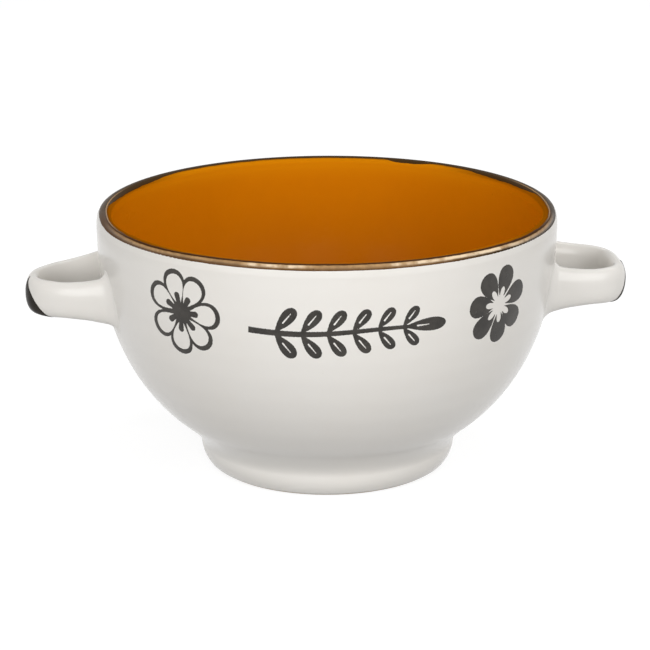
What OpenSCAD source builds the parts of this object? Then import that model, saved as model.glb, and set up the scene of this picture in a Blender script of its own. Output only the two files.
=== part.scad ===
// Lug soup bowl: a thrown stoneware bowl on a turned foot, with two pulled strap lugs,
// an orange inside, a white outside, a brown lip and a printed front.
// The bowl stands on z = 0 round the Z axis. The lugs point along X and the front faces -Y.

/* [Bowl] */
// Outer diameter of the lip
rim_d = 140; // [125:1:150]
// Height from the table to the top of the lip
bowl_h = 81; // [75:1:100]
// Thickness of the lip, with its glaze
lip_t = 4.4; // [3.6:0.1:5.6]
// How far the wall swells out past the lip, just under it
swell = 0.3; // [0:0.1:1]
// Thickness of the floor, with its glazes
floor_t = 6; // [4:0.5:9]
// Thickness of each coat of glaze
glaze_t = 0.5; // [0.3:0.05:0.7]

/* [Foot] */
// Diameter of the foot's outer edge where it meets the cove
foot_d = 79.2; // [74:0.2:86]
// Diameter of the foot's outer edge at the table
foot_base_d = 73; // [66:0.5:74]
// Height of the foot's outer face, up to the cove
foot_h = 9; // [8:0.5:11]
// Width of the foot at the table
foot_w = 5; // [4:0.5:7]
// Depth of the recess under the bowl, before its glaze
recess_h = 6.5; // [5:0.5:7]
// Height of the cove between the foot and the wall
cove_h = 6.6; // [5:0.2:8]
// How far the wall stands out past the foot at the top of the cove
cove_w = 6.8; // [5:0.1:7.6]

/* [Lugs] */
// Width of the bowl over both lugs
lug_span = 184.8; // [176:0.2:205]
// Drop from the top of the lip to the middle of the lugs
lug_drop = 23.4; // [20:0.2:30]
// Height of a lug's strap at its end
strap_h = 11.2; // [9:0.2:14]
// Height of a lug's strap inside the wall, where it is tallest
root_h = 17.6; // [14:0.2:19]
// Thickness of a lug's strap
strap_t = 4.8; // [4:0.2:7]
// Width of a lug from the middle of one arm to the middle of the other
lug_w = 33; // [28:0.5:38]
// How far each arm spreads sideways at its root
root_flare = 2; // [0:0.2:4]
// How far the left lug's end hangs below its root
left_droop = 1.5; // [0:0.1:4]
// How far the right lug's end hangs below its root
right_droop = 0.9; // [0:0.1:4]

/* [Prints] */
// Thickness of the print
print_t = 0.2; // [0.15:0.05:0.3]
// Distance from the left flower's centre to its petals' tips
left_flower_r = 13; // [9:0.5:14]
// Distance from the right flower's centre to its petals' tips
right_flower_r = 11.9; // [8:0.1:13]
// Drop from the top of the lip to both flowers' centres
flower_drop = 17.6; // [17:0.2:26]
// Angle of the left flower from the front
left_flower_angle = 41.5; // [41:0.1:46]
// Angle of the right flower from the front
right_flower_angle = 40; // [40:0.1:46]
// Length of the leaf sprig
sprig_l = 56; // [40:1:56]
// Height of the leaf sprig
sprig_h = 15.4; // [11:0.2:17]
// Drop from the top of the lip to the middle of the leaf sprig
sprig_drop = 19.6; // [16:0.2:27]
// Width of the sprig's stem
stem_w = 1.8; // [1.4:0.1:2.4]

/* [Hidden] */

clay_colour = [0.80, 0.74, 0.64];
white_colour = [0.89, 0.87, 0.84];
orange_colour = [0.78, 0.44, 0.02];
brown_colour = [0.42, 0.33, 0.22];
ink_colour = [0.20, 0.19, 0.18];

// How far a cutting shape runs past what it cuts
overrun = 1;
// Faces round each turned form
round_steps = 180;

// Steps in which the stretches of the bowl's section are drawn
base_steps = 4;
ankle_steps = 2;
cove_steps = 5;
wall_steps = 22;
lip_steps = 12;
inside_steps = 20;
// Powers of the rounded curves of the wall outside and inside
wall_power = 2.35;
inside_power = 2.6;
// The power with which the fit of the wall's foot to the cove dies out going up
fit_power = 6;
// The wall's curve has its pole this share of the foot's height above the table
pole_share = 0.167;
// Angles round the lip at which its roll starts outside and ends inside
lip_start = -24;
lip_end = 198;
// Steps of the lip's roll at which the brown starts outside and ends inside
brown_out_step = 2;
brown_in_step = 9;
// Drop from the lip's middle to the top of the wall, as a share of the lip's thickness
wall_top_share = 0.36;
// How far up the cove its curve keeps the foot's direction
cove_bend_share = 0.35;
// Share of the wall's steps that are even, the rest crowding towards the cove
even_share = 0.55;
// Bevel of the foot's clay where it meets the table
foot_edge = 0.8;
// Width of the foot where it joins the body
foot_top_w = 10;
// Height of the bare clay outside the foot, under the white glaze
bare_h = 0.5;
// Power of the curve by which the foot rounds in to the table
foot_power = 3;
// How the stations of the foot crowd towards the table
base_power = 1.5;

lip_r = lip_t / 2;
lip_z = bowl_h - lip_r;
roll_r = rim_d / 2 - lip_r;
bore_r = rim_d / 2 - lip_t;
belly_r = rim_d / 2 + swell;
wall_top_z = lip_z - lip_t * wall_top_share;
pole_z = foot_h * pole_share;
cove_top_z = foot_h + cove_h;
cove_top_r = foot_d / 2 + cove_w;
floor_z = recess_h + floor_t;
inside_top_z = lip_z - lip_r;
lug_z = bowl_h - lug_drop;
flower_z = bowl_h - flower_drop;
sprig_z = bowl_h - sprig_drop;

// Radius at height z of a rounded curve with radius r at the top and its pole at the bottom
function round_r(z, r, top, pole, power) =
    r * pow(1 - pow(min(1, max(0, (top - z) / (top - pole))), power), 1 / power);

// Radius of the wall's outside at height z, bent at its foot to meet the cove
cove_miss = cove_top_r - round_r(cove_top_z, belly_r, wall_top_z, pole_z, wall_power);
function outside_r(z) =
    round_r(z, belly_r, wall_top_z, pole_z, wall_power)
    + cove_miss * pow((wall_top_z - z) / (wall_top_z - cove_top_z), fit_power);

// Radius of the foot's outside at height z
function foot_r(z) = foot_d / 2 - (foot_d - foot_base_d) / 2 * pow(1 - z / foot_h, foot_power);

// A curve from a to c that starts and ends towards b, at share u of its way
function bend(a, b, c, u) = (1 - u) * (1 - u) * a + 2 * u * (1 - u) * b + u * u * c;

// The glazed section's stations, up the foot and wall, over the lip and down to the floor
base_part = [for (i = [0 : base_steps])
    let (z = bare_h + (recess_h - bare_h) * pow(i / base_steps, base_power)) [foot_r(z), z]];
ankle_part = [for (i = [1 : ankle_steps]) let (z = recess_h + (foot_h - recess_h) * i / ankle_steps)
    [foot_r(z), z]];
cove_part = [for (i = [1 : cove_steps])
    bend([foot_d / 2, foot_h], [foot_d / 2, foot_h + cove_h * cove_bend_share],
         [cove_top_r, cove_top_z], i / cove_steps)];
wall_part = [for (i = [1 : wall_steps]) let (u = i / wall_steps,
    z = cove_top_z + (wall_top_z - cove_top_z) * (even_share * u + (1 - even_share) * u * u))
    [outside_r(z), z]];
lip_part = [for (i = [0 : lip_steps]) let (a = lip_start + (lip_end - lip_start) * i / lip_steps)
    [roll_r + lip_r * cos(a), lip_z + lip_r * sin(a)]];
inside_part = [for (i = [0 : inside_steps]) let (a = 90 * i / inside_steps)
    [bore_r * pow(cos(a), 2 / inside_power),
     inside_top_z - (inside_top_z - floor_z) * pow(sin(a), 2 / inside_power)]];
stations = concat([[foot_r(0), 0]], base_part, ankle_part, cove_part, wall_part, lip_part, inside_part);

// Places in that list: the bare edge, the clay joint, the wall's ends and the brown's ends
bare_i = 1;
seat_i = bare_i + base_steps;
wall_low_i = seat_i + ankle_steps + cove_steps;
wall_top_i = wall_low_i + wall_steps;
brown_out_i = wall_top_i + 1 + brown_out_step;
brown_in_i = wall_top_i + 1 + brown_in_step;
last_i = len(stations) - 1;

// Station i moved d into the wall, square to the line through its neighbours
function aside(v) = [-v[1], v[0]] / norm(v);
function sunk(i, d) =
    i == last_i ? [0, stations[i][1] - d]
    : let (p = stations[i], n = aside(stations[min(last_i, i + 1)] - stations[max(0, i - 1)]))
        [max(0, p[0] + n[0] * d), i == 0 ? 0 : p[1] + n[1] * d];
function layer(i0, i1, d) = [for (i = [i0 : i1]) sunk(i, d)];
function backward(list) = [for (i = [len(list) - 1 : -1 : 0]) list[i]];

// The joint between the foot and the body, and the foot's inner side
seat = sunk(seat_i, glaze_t);
foot_in_r = foot_base_d / 2 - foot_w;
foot_in_top_r = foot_d / 2 - foot_top_w;

// A layer of the section from station i0 to i1, between depths d0 and d1, turned round
module turned_layer(i0, i1, d0, d1) {
    rotate_extrude($fn = round_steps)
        polygon(concat(layer(i0, i1, d0), backward(layer(i0, i1, d1))));
}

// The outside of the bowl at a depth, filled in, from the bare edge to the brown lip
module filled_outside(depth, past) {
    low = sunk(bare_i, glaze_t);
    high = sunk(brown_out_i, glaze_t);
    rotate_extrude($fn = round_steps)
        polygon(concat([[0, low[1] - past], [low[0], low[1] - past]], layer(bare_i, brown_out_i, depth),
                       [[high[0], high[1] + past], [0, high[1] + past]]));
}

// Lugs: a strap swept round a loop, with its ends inside the wall
strap_rings = 26;
strap_sides = 14;
// Squareness of the strap's section, and of each lug's loop seen from above
section_power = 2.2;
left_loop_power = 2.1;
right_loop_power = 3.4;
// Where a loop starts inside the wall, as a share of the lip's radius
loop_start_share = 0.885;
// How far out from there the root's growth reaches, as a share of the lug's length
growth_share = 0.7;
// How much thicker the root is inside the wall, as a share of the strap's thickness
root_swell_share = 0.45;
loop_x = rim_d / 2 * loop_start_share;
loop_l = lug_span / 2 - strap_t / 2 - loop_x;

function bulge(v, power) = sign(v) * pow(abs(v), 2 / power);

// Share of the root's growth at distance x from the bowl's axis
function growth(x) = pow(max(0, 1 - (x - loop_x) / (loop_l * growth_share)), 2);

// The middle of the strap at angle a of its loop, seen from above
function loop_at(a, power) =
    let (x = loop_x + loop_l * bulge(cos(a), power), side = sign(sin(a)))
    [x, side * (lug_w / 2 * abs(bulge(sin(a), power)) + root_flare * growth(x))];

// One ring of the strap at angle a, with its surface sunk by depth
function strap_ring(a, power, droop, depth) =
    let (p = loop_at(a, power), da = 90 / strap_rings / 4,
         out = -aside(loop_at(min(90, a + da), power) - loop_at(max(-90, a - da), power)),
         g = growth(p[0]),
         half_t = strap_t / 2 * (1 + root_swell_share * g) - depth,
         half_h = (strap_h + (root_h - strap_h) * g) / 2 - depth)
    [for (k = [0 : strap_sides - 1])
        let (b = 360 * (k + 0.5) / strap_sides, u = half_t * bulge(cos(b), section_power),
             x = p[0] + out[0] * u)
        [x, p[1] + out[1] * u,
         lug_z + half_h * bulge(sin(b), section_power) - droop * (x - loop_x) / loop_l]];

// The strap between angles a0 and a1 of its loop
module strap(power, droop, depth, a0 = -90, a1 = 90) {
    rings = [for (i = [0 : strap_rings]) strap_ring(a0 + (a1 - a0) * i / strap_rings, power, droop, depth)];
    n = strap_sides;
    points = [for (ring = rings, p = ring) p];
    sides = [for (i = [0 : strap_rings - 1], k = [0 : n - 1])
        let (a = i * n + k, b = i * n + (k + 1) % n) each [[a, b, b + n], [a, b + n, a + n]]];
    first = [for (k = [1 : n - 2]) [0, k + 1, k]];
    last = [for (k = [1 : n - 2]) [strap_rings * n, strap_rings * n + k, strap_rings * n + k + 1]];
    polyhedron(points, concat(sides, first, last), convexity = 4);
}

module left_strap(depth, a0 = -90, a1 = 90) {
    mirror([1, 0, 0]) strap(left_loop_power, left_droop, depth, a0, a1);
}

module right_strap(depth, a0 = -90, a1 = 90) {
    strap(right_loop_power, right_droop, depth, a0, a1);
}

// Prints
petal_count = 7;
petal_points = 22;
heart_steps = 24;
// Sharpness of a petal's inner end
petal_sharp = 1.2;

petal_peak = 2 * pow((petal_sharp + 1) / (petal_sharp + 2), (petal_sharp + 1) / 2)
    / sqrt(petal_sharp + 2);

// A petal of length l and width w along X, with its point at the origin
module petal(l, w) {
    polygon([for (i = [0 : petal_points - 1])
        let (a = 360 * i / petal_points, s = sin(a / 2))
        [l * s * s, w / 2 * sin(a) * pow(s, petal_sharp) / petal_peak]]);
}

// Copies of its child in as many directions as a flower has petals
module around(first) {
    for (k = [0 : petal_count - 1]) rotate([0, 0, first + 360 * k / petal_count]) children();
}

// The outline flower: line widths, petals and stamens as shares of its radius
left_first_angle = 104;
left_petal_w_share = 0.61;
left_line_share = 0.115;
left_side_line_share = 0.14;
left_heart_share = 0.16;
left_stamen_share = 0.44;
left_stamen_w_share = 0.13;

module outline_flower(r) {
    line = r * left_line_share;
    side = r * left_side_line_share;
    difference() {
        around(left_first_angle) petal(r, r * left_petal_w_share);
        around(left_first_angle)
            translate([side, 0]) petal(r - line - side, r * left_petal_w_share - side);
    }
    circle(r * left_heart_share, $fn = heart_steps);
    around(left_first_angle) {
        translate([0, -r * left_stamen_w_share / 2])
            square([r * left_stamen_share, r * left_stamen_w_share]);
    }
}

// The solid flower: its petals start off the centre, and pale stamens are left in them
right_first_angle = 73;
right_start_share = 0.1;
right_petal_w_share = 0.55;
right_heart_share = 0.15;
right_stamen_share = 0.46;
right_stamen_w_share = 0.15;

module solid_flower(r) {
    difference() {
        around(right_first_angle)
            translate([r * right_start_share, 0])
                petal(r * (1 - right_start_share), r * right_petal_w_share);
        circle(r * right_heart_share, $fn = heart_steps);
        around(right_first_angle) petal(r * right_stamen_share, r * right_stamen_w_share);
    }
}

// The leaf sprig: a waved stem with pairs of leaves that shorten towards its end
leaf_pairs = 6;
stem_steps = 24;
wave_share = 0.04;
leaf_lean = 52;
leaf_w_share = 0.42;
leaf_taper_share = 0.25;
stem_l_share = 0.9;

function stem_y(x) = sprig_h * wave_share * sin(360 * x / sprig_l);

module sprig() {
    stem_l = sprig_l * stem_l_share;
    leaf_l = sprig_h / 2 / sin(leaf_lean);
    first_x = -sprig_l / 2;
    pitch = stem_l / (leaf_pairs + 1);
    top = [for (i = [0 : stem_steps]) let (x = first_x + stem_l * i / stem_steps)
        [x, stem_y(x) + stem_w / 2]];
    polygon(concat(top, backward([for (p = top) [p[0], p[1] - stem_w]])));
    for (i = [1 : leaf_pairs], side = [-1, 1]) {
        x = first_x + pitch * i;
        l = leaf_l * (1 - leaf_taper_share * i / leaf_pairs);
        translate([x, stem_y(x)]) rotate([0, 0, side * leaf_lean]) petal(l, l * leaf_w_share);
    }
    end_x = first_x + stem_l - pitch;
    translate([end_x, stem_y(end_x)]) petal(sprig_l / 2 - end_x, leaf_l * leaf_w_share);
}

// A flat print laid on the wall at an angle from the front, with its middle at height z
module on_wall(angle, z) {
    intersection() {
        turned_layer(wall_low_i, wall_top_i, -print_t, 0);
        rotate([0, 0, angle]) translate([0, 0, z]) rotate([90, 0, 0])
            linear_extrude(belly_r + overrun) children();
    }
}

// Prints on the lugs' ends: petals seen from beyond the end, as shares of the strap's height
end_petal_l_share = 1.5;
end_petal_w_share = 0.85;
end_line_share = 0.12;
end_petal_lean = 118;
// How far in front of the lugs' middles they lie, as shares of a lug's width
left_end_share = 0.19;
right_end_share = 0.24;
// How far round the loop each way they may reach
end_angle = 55;

module end_petal() {
    l = strap_h * end_petal_l_share;
    rotate([0, 0, -end_petal_lean]) translate([-l / 2, 0]) petal(l, strap_h * end_petal_w_share);
}

module end_petal_line() {
    l = strap_h * end_petal_l_share;
    line = strap_h * end_line_share;
    difference() {
        end_petal();
        rotate([0, 0, -end_petal_lean]) translate([line * 2 - l / 2, 0])
            petal(l - line * 3, strap_h * end_petal_w_share - line * 2);
    }
}

// A flat print laid on a lug's end, at a distance y in front of the lug's middle
module on_end(y, droop) {
    translate([loop_x, -y, lug_z - droop]) rotate([90, 0, 90])
        linear_extrude(loop_l + strap_t) children();
}

// Sub-parts
module bowl_body() {
    color(clay_colour)
        rotate_extrude($fn = round_steps)
            polygon(concat([[0, seat[1]]], layer(seat_i, last_i, glaze_t)));
}

module foot_ring() {
    color(clay_colour)
        rotate_extrude($fn = round_steps)
            polygon(concat([[foot_in_r + foot_edge, 0], [foot_base_d / 2 - glaze_t - foot_edge, 0]],
                           layer(bare_i, seat_i, glaze_t),
                           [[foot_in_top_r, seat[1]], [foot_in_r, foot_edge]]));
}

module left_handle() {
    color(clay_colour) difference() {
        left_strap(glaze_t);
        filled_outside(glaze_t, overrun);
    }
}

module right_handle() {
    color(clay_colour) difference() {
        right_strap(glaze_t);
        filled_outside(glaze_t, overrun);
    }
}

module outer_glaze() {
    color(white_colour) difference() {
        union() {
            filled_outside(0, 0);
            left_strap(0);
            right_strap(0);
        }
        filled_outside(glaze_t, overrun);
        left_strap(glaze_t);
        right_strap(glaze_t);
    }
}

module inner_glaze() {
    color(orange_colour) turned_layer(brown_in_i, last_i, 0, glaze_t);
}

module base_glaze() {
    low_z = foot_edge + glaze_t;
    low_r = foot_in_r + (foot_in_top_r - foot_in_r) * (low_z - foot_edge) / (seat[1] - foot_edge);
    color(white_colour)
        rotate_extrude($fn = round_steps)
            polygon([[0, seat[1] - glaze_t], [foot_in_top_r - glaze_t, seat[1] - glaze_t],
                     [low_r - glaze_t, low_z], [low_r, low_z], [foot_in_top_r, seat[1]], [0, seat[1]]]);
}

module rim_glaze() {
    color(brown_colour) turned_layer(brown_out_i, brown_in_i, 0, glaze_t);
}

module left_flower() {
    color(ink_colour) on_wall(-left_flower_angle, flower_z) outline_flower(left_flower_r);
}

module right_flower() {
    color(ink_colour) on_wall(right_flower_angle, flower_z) solid_flower(right_flower_r);
}

module leaf_sprig() {
    color(ink_colour) on_wall(0, sprig_z) sprig();
}

module left_handle_motif() {
    color(ink_colour) intersection() {
        difference() {
            left_strap(-print_t, -end_angle, end_angle);
            left_strap(0);
        }
        mirror([1, 0, 0]) on_end(lug_w * left_end_share, left_droop) end_petal();
    }
}

module right_handle_motif() {
    color(ink_colour) intersection() {
        difference() {
            right_strap(-print_t, -end_angle, end_angle);
            right_strap(0);
        }
        on_end(lug_w * right_end_share, right_droop) end_petal_line();
    }
}

bowl_body();
foot_ring();
left_handle();
right_handle();
outer_glaze();
inner_glaze();
base_glaze();
rim_glaze();
left_flower();
right_flower();
leaf_sprig();
left_handle_motif();
right_handle_motif();
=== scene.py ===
"""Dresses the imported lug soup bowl: its glazes, lugs, brown lip and prints, on a pale stage.

Lengths are in metres. The bowl stands on z = 0 round the Z axis, and its front faces -Y.
"""

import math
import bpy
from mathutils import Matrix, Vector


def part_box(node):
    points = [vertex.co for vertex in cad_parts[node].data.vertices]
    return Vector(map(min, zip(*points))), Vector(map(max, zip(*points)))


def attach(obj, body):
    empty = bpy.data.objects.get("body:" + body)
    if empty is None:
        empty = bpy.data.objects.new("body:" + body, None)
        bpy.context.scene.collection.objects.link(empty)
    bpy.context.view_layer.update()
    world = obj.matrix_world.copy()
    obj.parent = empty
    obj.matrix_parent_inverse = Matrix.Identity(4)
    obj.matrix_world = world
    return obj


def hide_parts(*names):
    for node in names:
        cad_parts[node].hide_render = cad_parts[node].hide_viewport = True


bl_info = {
    "name": "Lug Soup Bowl",
    "version": (1, 0, 0),
    "blender": (4, 5, 0),
    "location": "View3D > Sidebar > Soup Bowl",
    "description": "Builds the glazes, lugs and prints of a lug soup bowl over its packed model",
    "category": "Object",
}

import bmesh
import bpy
import numpy as np
from bpy.props import FloatProperty, FloatVectorProperty, IntProperty, PointerProperty
from bpy.types import Operator, Panel, PropertyGroup
from mathutils import Matrix, Vector

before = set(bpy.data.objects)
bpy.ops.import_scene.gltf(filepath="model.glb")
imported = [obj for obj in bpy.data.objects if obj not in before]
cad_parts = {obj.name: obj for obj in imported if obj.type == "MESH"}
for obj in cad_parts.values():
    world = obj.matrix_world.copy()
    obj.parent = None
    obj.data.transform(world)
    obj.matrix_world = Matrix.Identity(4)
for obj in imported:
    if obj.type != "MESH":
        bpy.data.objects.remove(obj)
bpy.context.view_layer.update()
lip_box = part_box("rim_glaze")
sprig_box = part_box("leaf_sprig")

MM = 0.001


# Settings

def length(name, text, value):
    return FloatProperty(name=name, description=text, default=value, min=0.0, max=1.0,
                         subtype="DISTANCE", unit="LENGTH", precision=5)


def degrees(name, text, value):
    return FloatProperty(name=name, description=text, default=math.radians(value),
                         min=-math.pi, max=math.pi, subtype="ANGLE", unit="ROTATION")


def power(name, text, value):
    return FloatProperty(name=name, description=text, default=value, min=0.0, max=200.0,
                         unit="POWER")


def factor(name, text, value, top=1.0):
    return FloatProperty(name=name, description=text, default=value, min=0.0, max=top,
                         subtype="FACTOR")


def colour(name, text, value):
    return FloatVectorProperty(name=name, description=text, default=value, min=0.0, max=1.0,
                               size=3, subtype="COLOR")


class BowlSizes(PropertyGroup):
    rim_radius: length("Rim Radius", "Outer radius of the lip", round(lip_box[1][0], 5))
    height: length("Height", "From the table to the top of the lip", lip_box[1][2])
    lip: length("Lip", "Thickness of the rolled lip", 4.4 * MM)
    swell: length("Swell", "How far the wall swells out past the lip", 0.3 * MM)
    floor: length("Floor", "Thickness of the floor", 6 * MM)
    glaze: length("Glaze", "Thickness of a coat of glaze", 0.5 * MM)
    foot_radius: length("Foot Radius", "Outer radius of the foot under the cove", 39.6 * MM)
    base_radius: length("Base Radius", "Outer radius of the foot at the table", 36.5 * MM)
    foot_height: length("Foot Height", "Height of the foot up to the cove", 9 * MM)
    foot_width: length("Foot Width", "Width of the foot at the table", 5 * MM)
    foot_top_width: length("Foot Top Width", "Width of the foot where it joins the body", 10 * MM)
    recess: length("Recess", "Depth of the recess under the bowl", 6.5 * MM)
    cove_height: length("Cove Height", "Height of the cove over the foot", 6.6 * MM)
    cove_width: length("Cove Width", "How far the wall stands out over the cove", 6.8 * MM)
    bare: length("Bare Edge", "Height of the bare clay under the white glaze", 0.5 * MM)
    around: IntProperty(name="Steps Around", description="Faces round each turned coat",
                        default=288, min=32, max=1024)


class LugSizes(PropertyGroup):
    reach: length("Reach", "From the bowl's axis to a lug's end", 92.4 * MM)
    drop: length("Drop", "From the top of the lip to the middle of the lugs", 23.4 * MM)
    strap_height: length("Strap Height", "Height of the strap at a lug's end", 11.2 * MM)
    root_height: length("Root Height", "Height of the strap inside the wall", 17.6 * MM)
    thickness: length("Thickness", "Thickness of the strap", 4.8 * MM)
    width: length("Width", "From the middle of one arm to the middle of the other", 33 * MM)
    flare: length("Flare", "How far each arm spreads at its root", 2 * MM)
    left_droop: length("Left Droop", "How far the left lug's end hangs", 1.5 * MM)
    right_droop: length("Right Droop", "How far the right lug's end hangs", 0.9 * MM)
    blend: length("Blend", "Radius with which a lug runs into the wall", 2.2 * MM)
    unevenness: length("Unevenness", "How far the hand-pulled strap wavers", 0.16 * MM)


class PrintSizes(PropertyGroup):
    rise: length("Rise", "How far the print stands above the glaze", 0.07 * MM)
    left_radius: length("Left Flower", "Radius of the outline flower", 13 * MM)
    right_radius: length("Right Flower", "Radius of the solid flower", 11.9 * MM)
    flower_drop: length("Flower Drop", "From the top of the lip to the flowers' centres", 17.6 * MM)
    left_angle: degrees("Left Angle", "Angle of the left flower from the front", 41.5)
    right_angle: degrees("Right Angle", "Angle of the right flower from the front", 40.0)
    sprig_length: length("Sprig Length", "Length of the leaf sprig",
                         round(sprig_box[1][0] - sprig_box[0][0], 4))
    sprig_height: length("Sprig Height", "Height of the leaf sprig", 15.4 * MM)
    sprig_drop: length("Sprig Drop", "From the top of the lip to the sprig's middle", 19.6 * MM)
    stem: length("Stem", "Width of the sprig's stem", 1.8 * MM)
    petal_drop: length("Petal Drop", "How far the lugs' petals lie under the strap's middle", 2.6 * MM)
    petal_turn: degrees("Petal Turn", "Way in which the lugs' petals point", -111.0)
    cell: length("Print Grid", "Size of the grid on which the prints are cut out", 0.2 * MM)


class Finishes(PropertyGroup):
    white: colour("White", "White glaze", (0.79, 0.765, 0.725))
    white_thin: colour("Thin White", "White glaze where the clay shows through", (0.74, 0.69, 0.62))
    orange: colour("Orange", "Orange glaze", (0.605, 0.190, 0.0006))
    # Deep orange: glaze where it pools in patches and streaks, and also painted shade deeper inside the bowl
    orange_deep_and_shade: colour("Deep Orange", "Orange glaze where it pools", (0.555, 0.165, 0.0004))
    orange_thin: colour("Thin Orange", "Orange glaze where it thins under the lip", (0.62, 0.212, 0.002))
    brown: colour("Brown", "Brown glaze over the lip", (0.105, 0.052, 0.020))
    # Thin brown: glaze thinned over the crest, and also a painted highlight there and along the lip's left
    # and right
    brown_thin_and_highlight: colour("Thin Brown", "Brown glaze thinned over the crest", (0.48, 0.285, 0.125))
    # Pale brown is a painted highlight on the lip's crest at the front's left and right
    brown_painted_highlight: colour("Pale Brown", "Brown glaze worn thinnest at the front", (0.86, 0.68, 0.47))
    ink: colour("Ink", "Charcoal print", (0.022, 0.019, 0.0155))
    ink_worn: colour("Worn Ink", "Print where it is thin", (0.055, 0.048, 0.040))
    clay: colour("Clay", "Bare fired clay", (0.62, 0.52, 0.40))
    clay_grog: colour("Clay Grain", "Darker grains in the clay", (0.36, 0.26, 0.17))
    gloss: factor("Gloss Roughness", "Roughness of the glazes", 0.16)


class StageSettings(PropertyGroup):
    distance: length("Distance", "From the camera to the bowl's axis", 0.700)
    aim_height: length("Aim Height", "Height at which the camera looks", 42.5 * MM)
    elevation: degrees("Elevation", "How far the camera looks down", 16.95)
    turn: degrees("Turn", "How far the camera stands round to the left", -5.0)
    roll: degrees("Roll", "Roll of the camera", -0.19)
    lens: FloatProperty(name="Lens", description="Focal length of the camera", default=124.84,
                        min=10.0, max=400.0, subtype="DISTANCE_CAMERA", unit="CAMERA")
    left_light: power("Left Light", "Power of the low soft light at the front left", 7.4)
    right_light: power("Right Light", "Power of the soft light at the front right", 6.4)
    front_light: power("Front Light", "Power of the soft light behind the camera", 3.6)
    back_light: power("Back Light", "Power of the soft light behind the bowl", 2.2)
    small_light: power("Small Lights", "Power of each small high light", 1.2)
    ambient: factor("Ambient", "Strength of the light from all round", 0.32, 4.0)


class SoupBowlSettings(PropertyGroup):
    bowl: PointerProperty(type=BowlSizes)
    lugs: PointerProperty(type=LugSizes)
    prints: PointerProperty(type=PrintSizes)
    finish: PointerProperty(type=Finishes)
    stage: PointerProperty(type=StageSettings)


# The turned section

# How square the wall's rounds are, outside and inside, where on the foot the outside's pole lies,
# and how far under the lip's middle the wall ends
WALL_ROUND = 2.35
INSIDE_ROUND = 2.6
POLE_SHARE = 0.167
LIP_START_SHARE = 0.36

# The foot's rounded edge at the table and the corner inside it, and how far down the cove starts
FOOT_EDGE = 0.6 * MM
FOOT_EDGE_RISE = 1.2 * MM
FOOT_CORNER = 0.8 * MM
COVE_OVERLAP = 2.4 * MM

# Depth of a coat's hidden back, and a short step for measuring slopes
COAT_BACK = 0.44 * MM
STEP = 0.1 * MM


def smooth(t):
    t = np.clip(t, 0.0, 1.0)
    return t * t * (3 - 2 * t)


def rolled(t):
    """Height of a rounded edge: 0 where it starts and 1 past its round."""
    return np.sqrt(1 - (1 - np.clip(t, 0, 1)) ** 2)


def waves(angle, parts):
    """A closed wavering round the bowl, summed from (count, height, phase) parts."""
    return sum(h * np.sin(k * angle + p) for k, h, p in parts)


def run_along(line):
    """How far each point of a line lies from its start."""
    return np.concatenate([[0], np.cumsum(np.linalg.norm(np.diff(line, axis=0), axis=1))])


def bent(first, corner, last, count):
    """A curve that leaves first and reaches last along its corner, without the first point."""
    u = np.linspace(0, 1, count)[1:, None]
    return (1 - u) ** 2 * first + 2 * u * (1 - u) * corner + u * u * last


def profile(radius_at, b, heights):
    return np.stack([radius_at(b, heights), heights], -1)


def sunk(line, depth):
    """A line of the section moved into the wall, square to itself."""
    along = np.gradient(line, axis=0)
    along /= np.maximum(np.linalg.norm(along, axis=1, keepdims=True), 1e-12)
    into = np.stack([-along[:, 1], along[:, 0]], 1)
    moved = line + into * np.reshape(depth, (-1, 1))
    moved[line[:, 0] <= 0, 0] = 0.0
    return moved


def wall_top(b):
    return b.height - b.lip / 2 - b.lip * LIP_START_SHARE


def wall_round(z, radius, top, pole):
    t = np.clip((top - z) / (top - pole), 0.0, 1.0)
    return radius * (1.0 - t ** WALL_ROUND) ** (1.0 / WALL_ROUND)


def outside_radius(b, z):
    """Radius of the glazed wall at height z, above the cove."""
    top, pole, low = wall_top(b), b.foot_height * POLE_SHARE, b.foot_height + b.cove_height
    belly = b.rim_radius + b.swell
    miss = b.foot_radius + b.cove_width - wall_round(low, belly, top, pole)
    fit = np.clip((top - z) / (top - low), 0.0, 2.0) ** 6
    return wall_round(z, belly, top, pole) + miss * fit


def outside_slope(b, z):
    """How fast the wall's radius grows with height."""
    return (outside_radius(b, z + STEP) - outside_radius(b, z - STEP)) / (2 * STEP)


def foot_radius_at(b, z):
    """Radius of the foot at height z: it rounds in to the table, and a little more at its edge."""
    edge = FOOT_EDGE * np.clip(1 - z / FOOT_EDGE_RISE, 0, 1) ** 2
    return b.foot_radius - (b.foot_radius - b.base_radius) * (1 - z / b.foot_height) ** 3 - edge


def recess_radius(b, z):
    """Radius of the foot's inside at height z, above its rounded corner."""
    inner, top = b.base_radius - b.foot_width, b.foot_radius - b.foot_top_width
    return inner + (top - inner) * (z - FOOT_CORNER) / (b.recess - FOOT_CORNER)


def lip_point(b, angle, depth):
    """A point of the rolled lip at an angle in degrees, then straight down its inside."""
    roll, middle, half = b.rim_radius - b.lip / 2, b.height - b.lip / 2, b.lip / 2
    a = np.radians(np.minimum(angle, 180.0))
    past = np.radians(np.maximum(angle - 180.0, 0.0)) * half
    r = roll + (half - depth) * np.cos(a)
    z = middle + (half - depth) * np.sin(a) - past
    return np.stack([r, z], -1)


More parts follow.
